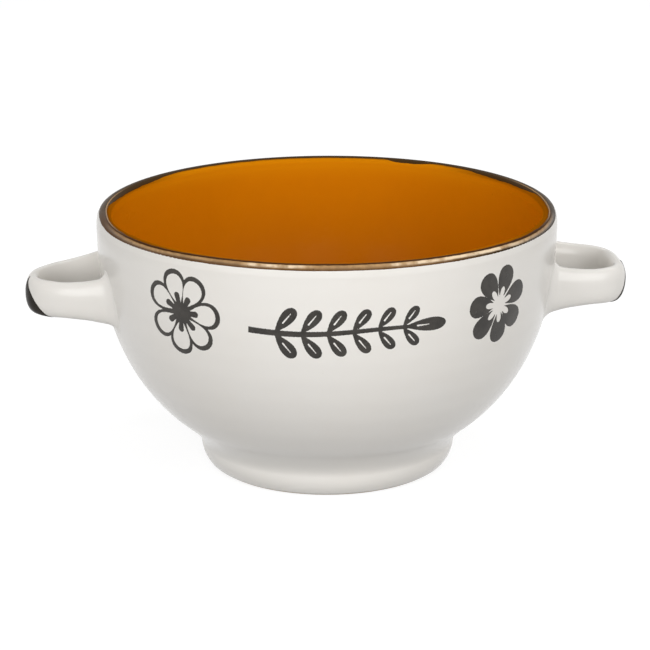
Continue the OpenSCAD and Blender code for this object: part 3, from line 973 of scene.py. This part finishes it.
def mottle_group():
    """Soft patches of a second colour, as a glaze thins and pools."""
    tree, i, o = new_group("Glaze Mottle", {
        "Vector": ("v", None), "Color": ("c", (1, 1, 1, 1)), "Patch Color": ("c", (0, 0, 0, 1)),
        "Patch Scale": ("f", 60.0), "Amount": ("f", 0.5)}, {"Color": "c"})
    broad = noise(tree, i["Vector"], i["Patch Scale"], 4.0, 0.55)
    fine = noise(tree, i["Vector"], times(tree, i["Patch Scale"], 9.0), 2.0)
    both = plus(tree, times(tree, broad, 0.8), times(tree, fine, 0.2))
    share = times(tree, spread(tree, both, 0.35, 0.68), i["Amount"])
    tree.links.new(blend(tree, share, i["Color"], i["Patch Color"]), o["Color"])


def speck_group():
    """Scattered round specks: a mask that is 1 in a few cells' middles."""
    tree, i, o = new_group("Fired Specks", {
        "Vector": ("v", None), "Cell Scale": ("f", 200.0), "Size": ("f", 0.1),
        "Share": ("f", 0.1)}, {"Mask": "f"})
    cells = put(tree, "ShaderNodeTexVoronoi", {"Vector": i["Vector"], "Scale": i["Cell Scale"]})
    split = put(tree, "ShaderNodeSeparateColor", {0: cells.outputs["Color"]})
    chosen = sums(tree, "LESS_THAN", split.outputs[0], i["Share"])
    size = times(tree, i["Size"], spread(tree, split.outputs[1], 0, 1, 0.4, 1.0))
    near = spread(tree, sums(tree, "DIVIDE", cells.outputs["Distance"], size), 1.0, 0.6)
    tree.links.new(times(tree, chosen, near), o["Mask"])


def surface_group():
    """Height of the faint rings left by throwing and the dimples of a fired glaze."""
    tree, i, o = new_group("Fired Surface", {
        "Vector": ("v", None), "Ring Pitch": ("f", 0.006), "Ring Height": ("f", 0.3),
        "Dimple Scale": ("f", 500.0), "Dimple Height": ("f", 0.1)}, {"Height": "f"})
    drift = times(tree, noise(tree, i["Vector"], 24.0, 2.0), 7.0)
    turns = times(tree, sums(tree, "DIVIDE", parts(tree, i["Vector"])[2], i["Ring Pitch"]), 2 * math.pi)
    rings = times(tree, sums(tree, "SINE", plus(tree, turns, drift)), i["Ring Height"])
    broad = times(tree, noise(tree, i["Vector"], 70.0, 2.0), i["Ring Height"])
    dimples = times(tree, noise(tree, i["Vector"], i["Dimple Scale"], 2.0), i["Dimple Height"])
    tree.links.new(plus(tree, rings, broad, dimples), o["Height"])


def gloss_group():
    """Roughness that drifts over the surface between two values."""
    tree, i, o = new_group("Gloss Drift", {
        "Vector": ("v", None), "Lowest": ("f", 0.1), "Highest": ("f", 0.2),
        "Scale": ("f", 90.0)}, {"Roughness": "f"})
    mask = noise(tree, i["Vector"], i["Scale"], 5.0, 0.6)
    node = put(tree, "ShaderNodeMapRange", {0: mask, 1: 0.3, 2: 0.7, 3: i["Lowest"], 4: i["Highest"]})
    tree.links.new(node.outputs[0], o["Roughness"])


def lip_group(b):
    """Where on the lip a point lies: across it, 0 at the outside and 1 at the inside, with the
    glazes' slide and a waver, and how far to the front and the side of the bowl."""
    tree, i, o = new_group("Lip Position", {
        "Vector": ("v", None), "Waver": ("f", 0.05)}, {"Across": "f", "Front": "f", "Side": "f"})
    x, y, z = parts(tree, i["Vector"])
    r = sums(tree, "SQRT", plus(tree, times(tree, x, x), times(tree, y, y)))
    front, side = sums(tree, "DIVIDE", y, r), sums(tree, "DIVIDE", x, r)
    up = sums(tree, "SUBTRACT", z, b.height - b.lip / 2)
    out = sums(tree, "SUBTRACT", r, b.rim_radius - b.lip / 2)
    across = sums(tree, "DIVIDE", sums(tree, "ARCTAN2", up, out), math.pi)
    slide = spread(tree, front, 0, -LEAN_SPAN, 0.0, LIP_LEAN / 180)
    more = spread(tree, sums(tree, "ABSOLUTE", side), SIDE_START, SIDE_END, 0.0, SIDE_LEAN / 180)
    more = times(tree, more, spread(tree, front, 0, -SIDE_FRONT))
    waver = times(tree, plus(tree, noise(tree, i["Vector"], 420.0, 4.0, 0.6), -0.5), i["Waver"])
    for value, key in ((plus(tree, across, slide, more, waver), "Across"), (front, "Front"), (side, "Side")):
        tree.links.new(value, o[key])


def build_groups(bowl):
    if "Glaze Mottle" not in bpy.data.node_groups:
        mottle_group()
        speck_group()
        surface_group()
        gloss_group()
        lip_group(bowl)


def use(tree, group, **values):
    """Places a node group in a material, with its own values, and returns its outputs."""
    node = tree.nodes.new("ShaderNodeGroup")
    node.node_tree = bpy.data.node_groups[group]
    for key, value in values.items():
        socket = node.inputs[key.replace("_", " ")]
        if isinstance(value, bpy.types.NodeSocket):
            tree.links.new(value, socket)
        else:
            socket.default_value = (*value, 1.0) if socket.type == "RGBA" else value
    return node.outputs


# Finishes

# Colours of the specks, stains, dark zones and painted shade in the glazes and the clay
IRON_SPECK, PINHOLE = (0.32, 0.28, 0.22), (0.45, 0.40, 0.33)
ORANGE_SPECK, LIP_STAIN, LIP_SIDE_SHADE = (0.16, 0.05, 0.005), (0.14, 0.045, 0.003), (0.20, 0.058, 0.001)
BROWN_RIGHT, BROWN_DARK, BROWN_FAR = (0.040, 0.022, 0.007), (0.055, 0.019, 0.003), (0.058, 0.032, 0.010)
BROWN_SPECK, INK_GAP, CLAY_PATCH = (0.06, 0.028, 0.01), (0.20, 0.18, 0.16), (0.50, 0.39, 0.27)

# Zones of the brown band across the lip: where each starts, is full, wanes and ends
CREST_ZONE = (0.26, 0.46, 0.50, 0.53)
GLOSSY_ZONE = (0.30, 0.38, 0.44, 0.50)
PAINTED_HIGHLIGHT_ZONE = (0.33, 0.41, 0.47, 0.52)
SIDE_HIGHLIGHT_ZONE = (0.555, 0.58, 0.605, 0.63)

# The painted highlight patches on the lip at the front's left and right, as shares of the radius
HIGHLIGHT_LEFT, HIGHLIGHT_RIGHT = (-0.43, -0.38, -0.20, -0.13), (0.13, 0.20, 0.60, 0.88)


class Finish:
    """A material under way: its shader's sockets, its place node's object coordinates and the
    colour that has been built up so far."""

    def __init__(self, name, s, **constants):
        self.material = bpy.data.materials.new(name)
        self.material.use_nodes = True
        self.tree = self.material.node_tree
        self.tree.nodes.clear()
        self.top = s.bowl.height
        shader = self.tree.nodes.new("ShaderNodeBsdfPrincipled")
        put(self.tree, "ShaderNodeOutputMaterial", {0: shader.outputs[0]})
        self.sockets = shader.inputs
        for key, value in constants.items():
            self.sockets[key.replace("_", " ")].default_value = value
        self.place = self.tree.nodes.new("ShaderNodeTexCoord").outputs["Object"]
        self.high = parts(self.tree, self.place)[2]
        self.base = None

    def link(self, key, value):
        self.tree.links.new(value, self.sockets[key])

    def down(self, start, end, to_low=0.0, to_high=1.0):
        """A value that changes between two depths, in millimetres, under the top of the lip."""
        return spread(self.tree, self.high, self.top - start * MM, self.top - end * MM, to_low, to_high)

    def mottled(self, tint, patch, scale, amount):
        self.base = use(self.tree, "Glaze Mottle", Vector=self.place, Color=tint, Patch_Color=patch,
                        Patch_Scale=scale, Amount=amount)["Color"]

    def over(self, tint, *shares):
        """Lays a colour over the base in a share, or the product of several."""
        self.base = blend(self.tree, times(self.tree, *shares), self.base, tint)

    def specks(self, tint, strength, scale, size, share):
        mask = use(self.tree, "Fired Specks", Vector=self.place, Cell_Scale=scale, Size=size, Share=share)
        self.over(tint, mask["Mask"], strength)

    def finished(self, gloss, relief, strength, distance):
        """Links the colour, a drifting roughness and a fine relief, and returns the material."""
        self.link("Base Color", self.base)
        rough = use(self.tree, "Gloss Drift", Vector=self.place, Lowest=gloss[0], Highest=gloss[1],
                    Scale=gloss[2])
        self.link("Roughness", rough["Roughness"])
        height = use(self.tree, "Fired Surface", Vector=self.place, Ring_Pitch=relief[0],
                     Ring_Height=relief[1], Dimple_Scale=relief[2], Dimple_Height=relief[3])
        bump = put(self.tree, "ShaderNodeBump", {"Height": height["Height"], "Strength": strength,
                                                 "Distance": distance})
        self.link("Normal", bump.outputs[0])
        return self.material


def white_glaze(s):
    name, f = "White glaze", s.finish
    if name in bpy.data.materials:
        return bpy.data.materials[name]
    m = Finish(name, s, IOR=1.5)
    m.link("Specular IOR Level", m.down(9, 4, 0.4, 0.08))
    m.mottled(f.white, f.white_thin, 38.0, 0.16)
    m.specks(IRON_SPECK, 0.35, 90.0, 0.035, 0.05)
    m.specks(PINHOLE, 0.10, 420.0, 0.10, 0.04)
    return m.finished((f.gloss * 0.9, f.gloss * 1.5, 70.0), (6.8 * MM, 0.22, 380.0, 0.16),
                      0.35, 0.25 * MM)


def orange_glaze(s):
    f, m = s.finish, Finish("Orange glaze", s, IOR=1.5)
    tree = m.tree
    m.link("Specular IOR Level", m.down(8, 3, 0.03, 0.0))
    m.mottled(f.orange, f.orange_deep_and_shade, 26.0, 0.45)
    streaks = put(tree, "ShaderNodeMapping", {"Vector": m.place, "Scale": (260.0, 260.0, 30.0)})
    m.over(f.orange_deep_and_shade, spread(tree, noise(tree, streaks.outputs[0], 1.0), 0.5, 0.8, 0.0, 0.14))
    # Painted shade: the orange darkens deeper inside the bowl
    m.over(f.orange_deep_and_shade, m.down(20, 60, 0.0, 0.4))
    lip = use(tree, "Lip Position", Vector=m.place, Waver=0.06)
    m.over(f.orange_thin, m.down(8, 2, 0.0, 0.9), spread(tree, lip["Front"], 0.25, 0.8))
    m.specks(ORANGE_SPECK, 0.35, 230.0, 0.06, 0.10)
    m.over(LIP_STAIN, spread(tree, lip["Across"], 0.78, 0.62, 0.0, 0.75), m.down(2.1, 1.5))
    # At the lip's left and right, painted shade darkens the orange a little further down under the lip's
    # inside
    side = sums(tree, "ABSOLUTE", lip["Side"])
    m.over(LIP_SIDE_SHADE, spread(tree, lip["Across"], 1.0, 0.84, 0.0, 0.6), m.down(2.3, 1.9),
           spread(tree, side, 0.6, 0.85))
    return m.finished((f.gloss * 1.5, f.gloss * 2.4, 60.0), (5.2 * MM, 0.07, 420.0, 0.16),
                      0.35, 0.3 * MM)


def brown_glaze(s):
    f, m = s.finish, Finish("Brown lip glaze", s, IOR=1.5)
    tree = m.tree
    lip = use(tree, "Lip Position", Vector=m.place, Waver=0.05)
    across, front, side = lip["Across"], lip["Front"], lip["Side"]
    near_front = spread(tree, front, -0.18, -0.55)
    glossy = times(tree, between(tree, across, GLOSSY_ZONE), 0.3, near_front)
    m.link("Specular IOR Level", plus(tree, glossy, 0.012))
    m.base = blend(tree, spread(tree, side, 0.3, 0.7), f.brown, BROWN_RIGHT)
    # The crest is tan, partly where the glaze thins over it and partly as a painted highlight broken up by
    # noise, near the front only, and less widely so at the left and right
    far = spread(tree, sums(tree, "ABSOLUTE", side), 0.3, 0.65)
    narrowed = sums(tree, "SUBTRACT", 1.0, times(tree, far, spread(tree, across, 0.43, 0.34)))
    broken_thin_and_highlight = spread(tree, noise(tree, m.place, 330.0, 4.0, 0.6), 0.34, 0.66, 0.6, 1.0)
    m.over(f.brown_thin_and_highlight, between(tree, across, CREST_ZONE), narrowed, broken_thin_and_highlight, near_front)
    # Painted highlights: pale patches on the crest at the front's left and right, broken into streaks
    patches = plus(tree, between(tree, side, HIGHLIGHT_LEFT), between(tree, side, HIGHLIGHT_RIGHT))
    streaks = spread(tree, noise(tree, m.place, 170.0, 3.0, 0.6), 0.36, 0.58, 0.1, 1.0)
    m.over(f.brown_painted_highlight, patches, spread(tree, front, 0.0, -0.3), between(tree, across, PAINTED_HIGHLIGHT_ZONE),
           streaks, 0.95)
    m.over(BROWN_DARK, spread(tree, across, 0.50, 0.535), 0.92)
    m.over(BROWN_FAR, spread(tree, front, -0.25, 0.15, 0.0, 0.85))
    # A thin painted highlight line across the lip at its left and right
    at_sides = spread(tree, sums(tree, "ABSOLUTE", front), 0.5, 0.2, 0.0, 0.8)
    m.over(f.brown_thin_and_highlight, between(tree, across, SIDE_HIGHLIGHT_ZONE), at_sides)
    m.specks(BROWN_SPECK, 0.45, 900.0, 0.3, 0.16)
    return m.finished((0.14, 0.30, 260.0), (3.0 * MM, 0.08, 520.0, 0.5), 0.35, 0.18 * MM)


def print_ink(s):
    name, f, rim = "Charcoal print", s.finish, s.bowl.rim_radius
    if name in bpy.data.materials:
        return bpy.data.materials[name]
    m = Finish(name, s, IOR=1.5)
    outwards = sums(m.tree, "ABSOLUTE", parts(m.tree, m.place)[0])
    m.link("Specular IOR Level", spread(m.tree, outwards, rim, rim + 6 * MM, 0.38, 0.02))
    m.mottled(f.ink, f.ink_worn, 240.0, 0.6)
    m.specks(INK_GAP, 0.35, 1500.0, 0.22, 0.10)
    return m.finished((f.gloss, f.gloss * 1.8, 180.0), (6.8 * MM, 0.22, 900.0, 0.3), 0.3, 0.2 * MM)


def bare_clay(s):
    m = Finish("Bare clay", s, IOR=1.45, Specular_IOR_Level=0.3)
    m.mottled(s.finish.clay, CLAY_PATCH, 120.0, 0.7)
    m.specks(s.finish.clay_grog, 0.7, 1100.0, 0.32, 0.2)
    return m.finished((0.7, 0.9, 300.0), (1.2 * MM, 0.3, 1600.0, 0.8), 0.6, 0.2 * MM)


# Operators for the pieces

class SOUPBOWL_OT_clay(Operator):
    """Finish the clay body and lugs, and turn the foot with its bare edge"""
    bl_idname = "soupbowl.clay"
    bl_label = "Clay"

    def execute(self, context):
        s = context.scene.soup_bowl
        build_groups(s.bowl)
        clay = bare_clay(s)
        for node in ("bowl_body", "left_handle", "right_handle"):
            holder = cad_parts[node]
            holder.data.materials.clear()
            holder.data.materials.append(clay)
        rings = even_rings(foot_section(s.bowl), s.bowl.around)
        turn("foot_clay", rings, clay, "stoneware", ["foot_ring"])
        return {"FINISHED"}


class SOUPBOWL_OT_white(Operator):
    """Coat the wall, the foot's outside and the recess in white glaze"""
    bl_idname = "soupbowl.white"
    bl_label = "White Glaze"

    def execute(self, context):
        s = context.scene.soup_bowl
        glaze = white_glaze(s)
        turn("wall_glaze", wall_rings(s.bowl), glaze, "white_glaze", ["outer_glaze"])
        rings = even_rings(recess_section(s.bowl), s.bowl.around)
        turn("recess_glaze", rings, glaze, "white_glaze", ["base_glaze"])
        return {"FINISHED"}


class SOUPBOWL_OT_lugs(Operator):
    """Sweep both glazed strap lugs and run them into the wall"""
    bl_idname = "soupbowl.lugs"
    bl_label = "Lugs"

    def execute(self, context):
        s = context.scene.soup_bowl
        add_lug("left_lug_glaze", Strap(s, True), white_glaze(s))
        add_lug("right_lug_glaze", Strap(s, False), white_glaze(s))
        return {"FINISHED"}


class SOUPBOWL_OT_orange(Operator):
    """Line the inside with orange glaze"""
    bl_idname = "soupbowl.orange"
    bl_label = "Orange Glaze"

    def execute(self, context):
        s = context.scene.soup_bowl
        rings = even_rings(liner_section(s.bowl), s.bowl.around)
        turn("orange_liner", rings, orange_glaze(s), "orange_glaze", ["inner_glaze"])
        return {"FINISHED"}


class SOUPBOWL_OT_brown(Operator):
    """Run the brown glaze over the lip, with wavering edges"""
    bl_idname = "soupbowl.brown"
    bl_label = "Brown Lip"

    def execute(self, context):
        s = context.scene.soup_bowl
        turn("lip_glaze", brown_rings(s.bowl), brown_glaze(s), "brown_glaze", ["rim_glaze"])
        return {"FINISHED"}


class SOUPBOWL_OT_flowers(Operator):
    """Print the two flowers on the front"""
    bl_idname = "soupbowl.flowers"
    bl_label = "Flowers"

    def execute(self, context):
        s = context.scene.soup_bowl
        p = s.prints
        flowers = (("left_flower", -p.left_angle, p.left_radius, outline_flower, 1.0),
                   ("right_flower", p.right_angle, p.right_radius, solid_flower, 2.0))
        for node, angle, radius, flower, seed in flowers:
            span = radius * FLOWER_SPAN_SHARE
            print_on_wall(node, s, angle, p.flower_drop, span, span,
                          lambda x, y: flower(x, y, radius), print_ink(s), seed)
        return {"FINISHED"}


class SOUPBOWL_OT_sprig(Operator):
    """Print the leaf sprig between the flowers"""
    bl_idname = "soupbowl.sprig"
    bl_label = "Leaf Sprig"

    def execute(self, context):
        s = context.scene.soup_bowl
        p = s.prints
        print_on_wall("leaf_sprig", s, 0.0, p.sprig_drop, p.sprig_length / 2 + SPRIG_ROOM,
                      p.sprig_height / 2 + SPRIG_ROOM, lambda x, y: leaf_sprig(x, y, p), print_ink(s), 3.0)
        return {"FINISHED"}


class SOUPBOWL_OT_lug_prints(Operator):
    """Print a petal round each lug's end"""
    bl_idname = "soupbowl.lug_prints"
    bl_label = "Lug Prints"

    def execute(self, context):
        s = context.scene.soup_bowl
        print_on_lug("left_lug_print", "left_handle_motif", Strap(s, True), s.prints,
                     LEFT_PETAL_SHARE, False, print_ink(s))
        print_on_lug("right_lug_print", "right_handle_motif", Strap(s, False), s.prints,
                     RIGHT_PETAL_SHARE, True, print_ink(s))
        return {"FINISHED"}


# The stage

# Each lamp's name, the setting of its power, its width and its place
LAMPS = (
    ("left_light", "left_light", 0.90, (-0.95, -0.95, 0.30)),
    ("right_light", "right_light", 0.90, (0.85, -0.90, 0.52)),
    ("front_light", "front_light", 0.60, (0.0, -1.15, 0.36)),
    ("back_light", "back_light", 0.90, (0.0, 0.85, 1.05)),
    ("left_small_light", "small_light", 0.22, (-0.62, -0.74, 0.93)),
    ("top_small_light", "small_light", 0.22, (0.32, 0.24, 1.28)),
    ("right_small_light", "small_light", 0.30, (0.86, 0.48, 0.91)),
)
LAMP_AIM = Vector((0.0, 0.0, 0.04))
CAMERA_SHIFT = -0.67 * MM
SENSOR_WIDTH = 36.0
FLOOR_SIZE, FLOOR_STEPS = 3.0, 12

# The floor's grey for light that falls on it, and its grey and glow for what is seen of it
FLOOR_LIT, FLOOR_SEEN, FLOOR_GLOW = (0.31, 0.31, 0.31), (0.26, 0.26, 0.26), 0.85
WHITE, ROOM = (1, 1, 1), (1.0, 0.995, 0.985)


def seen(tree):
    """1 for what the camera, a gloss or a clear body sees, and 0 for light that falls."""
    path = tree.nodes.new("ShaderNodeLightPath").outputs
    either = sums(tree, "MAXIMUM", path["Is Camera Ray"], path["Is Glossy Ray"])
    return sums(tree, "MAXIMUM", either, path["Is Transmission Ray"])


def add_floor(scene):
    material = bpy.data.materials.new("Pale floor")
    material.use_nodes = True
    tree = material.node_tree
    tree.nodes.clear()
    plain = put(tree, "ShaderNodeBsdfDiffuse", {"Color": FLOOR_LIT}).outputs[0]
    shade = put(tree, "ShaderNodeBsdfDiffuse", {"Color": FLOOR_SEEN}).outputs[0]
    glow = put(tree, "ShaderNodeEmission", {"Color": WHITE, "Strength": FLOOR_GLOW}).outputs[0]
    pale = put(tree, "ShaderNodeAddShader", {0: shade, 1: glow}).outputs[0]
    both = put(tree, "ShaderNodeMixShader", {0: seen(tree), 1: plain, 2: pale}).outputs[0]
    put(tree, "ShaderNodeOutputMaterial", {0: both})
    row = FLOOR_STEPS + 1
    steps = FLOOR_SIZE * (np.arange(row) / FLOOR_STEPS - 0.5)
    points = [(float(x), float(y), 0.0) for y in steps for x in steps]
    faces = [(j * row + i, j * row + i + 1, (j + 1) * row + i + 1, (j + 1) * row + i)
             for j in range(FLOOR_STEPS) for i in range(FLOOR_STEPS)]
    mesh = bpy.data.meshes.new("floor")
    mesh.from_pydata(points, [], faces)
    mesh.materials.append(material)
    floor = bpy.data.objects.new("floor", mesh)
    scene.collection.objects.link(floor)


def set_world(scene, ambient):
    world = bpy.data.worlds.new("Pale room")
    world.use_nodes = True
    tree = world.node_tree
    tree.nodes.clear()
    room = put(tree, "ShaderNodeBackground", {"Color": ROOM, "Strength": ambient}).outputs[0]
    white = put(tree, "ShaderNodeBackground", {"Color": WHITE, "Strength": 1.0}).outputs[0]
    both = put(tree, "ShaderNodeMixShader", {0: seen(tree), 1: room, 2: white}).outputs[0]
    put(tree, "ShaderNodeOutputWorld", {0: both})
    scene.world = world


def add_lamp(scene, name, watts, width, place):
    data = bpy.data.lights.new(name, "AREA")
    data.shape, data.size, data.energy = "DISK", width, watts
    lamp = bpy.data.objects.new(name, data)
    lamp.location = place
    lamp.rotation_euler = (LAMP_AIM - Vector(place)).to_track_quat("-Z", "Y").to_euler()
    scene.collection.objects.link(lamp)


def add_camera(scene, st):
    data = bpy.data.cameras.new("camera")
    data.lens, data.sensor_width, data.sensor_fit = st.lens, SENSOR_WIDTH, "AUTO"
    camera = bpy.data.objects.new("camera", data)
    e = st.elevation
    spot = Vector((CAMERA_SHIFT, -st.distance * math.cos(e), st.aim_height + st.distance * math.sin(e)))
    camera.matrix_world = (Matrix.Rotation(st.turn, 4, "Z") @ Matrix.Translation(spot)
                           @ Matrix.Rotation(math.pi / 2 - e, 4, "X") @ Matrix.Rotation(st.roll, 4, "Z"))
    scene.collection.objects.link(camera)
    scene.camera = camera


class SOUPBOWL_OT_stage(Operator):
    """Set the pale floor, the soft lights and the camera"""
    bl_idname = "soupbowl.stage"
    bl_label = "Stage"

    def execute(self, context):
        scene = context.scene
        st = scene.soup_bowl.stage
        add_floor(scene)
        set_world(scene, st.ambient)
        for name, setting, width, place in LAMPS:
            add_lamp(scene, name, getattr(st, setting), width, place)
        add_camera(scene, st)
        scene.view_settings.view_transform = "Standard"
        return {"FINISHED"}


# The sidebar and the order of work

class SOUPBOWL_PT_panel(Panel):
    """Steps and sizes of the lug soup bowl"""
    bl_idname = "SOUPBOWL_PT_panel"
    bl_label = "Lug Soup Bowl"
    bl_space_type = "VIEW_3D"
    bl_region_type = "UI"
    bl_category = "Soup Bowl"

    def draw(self, context):
        layout = self.layout
        for step in STEPS:
            layout.operator(step.bl_idname)
        settings = context.scene.soup_bowl
        for title, part in (("Bowl", settings.bowl), ("Lugs", settings.lugs),
                            ("Prints", settings.prints), ("Finishes", settings.finish),
                            ("Stage", settings.stage)):
            box = layout.box()
            box.label(text=title)
            for key in part.__annotations__:
                box.prop(part, key)


STEPS = (SOUPBOWL_OT_clay, SOUPBOWL_OT_white, SOUPBOWL_OT_lugs, SOUPBOWL_OT_orange,
         SOUPBOWL_OT_brown, SOUPBOWL_OT_flowers, SOUPBOWL_OT_sprig, SOUPBOWL_OT_lug_prints,
         SOUPBOWL_OT_stage)
CLASSES = (BowlSizes, LugSizes, PrintSizes, Finishes, StageSettings, SoupBowlSettings,
           *STEPS, SOUPBOWL_PT_panel)


def register():
    for item in CLASSES:
        bpy.utils.register_class(item)
    bpy.types.Scene.soup_bowl = PointerProperty(type=SoupBowlSettings)


def unregister():
    del bpy.types.Scene.soup_bowl
    for item in reversed(CLASSES):
        bpy.utils.unregister_class(item)


def main():
    register()
    bpy.ops.soupbowl.clay()
    bpy.ops.soupbowl.white()
    bpy.ops.soupbowl.lugs()
    bpy.ops.soupbowl.orange()
    bpy.ops.soupbowl.brown()
    bpy.ops.soupbowl.flowers()
    bpy.ops.soupbowl.sprig()
    bpy.ops.soupbowl.lug_prints()
    bpy.ops.soupbowl.stage()


if __name__ == "__main__":
    main()
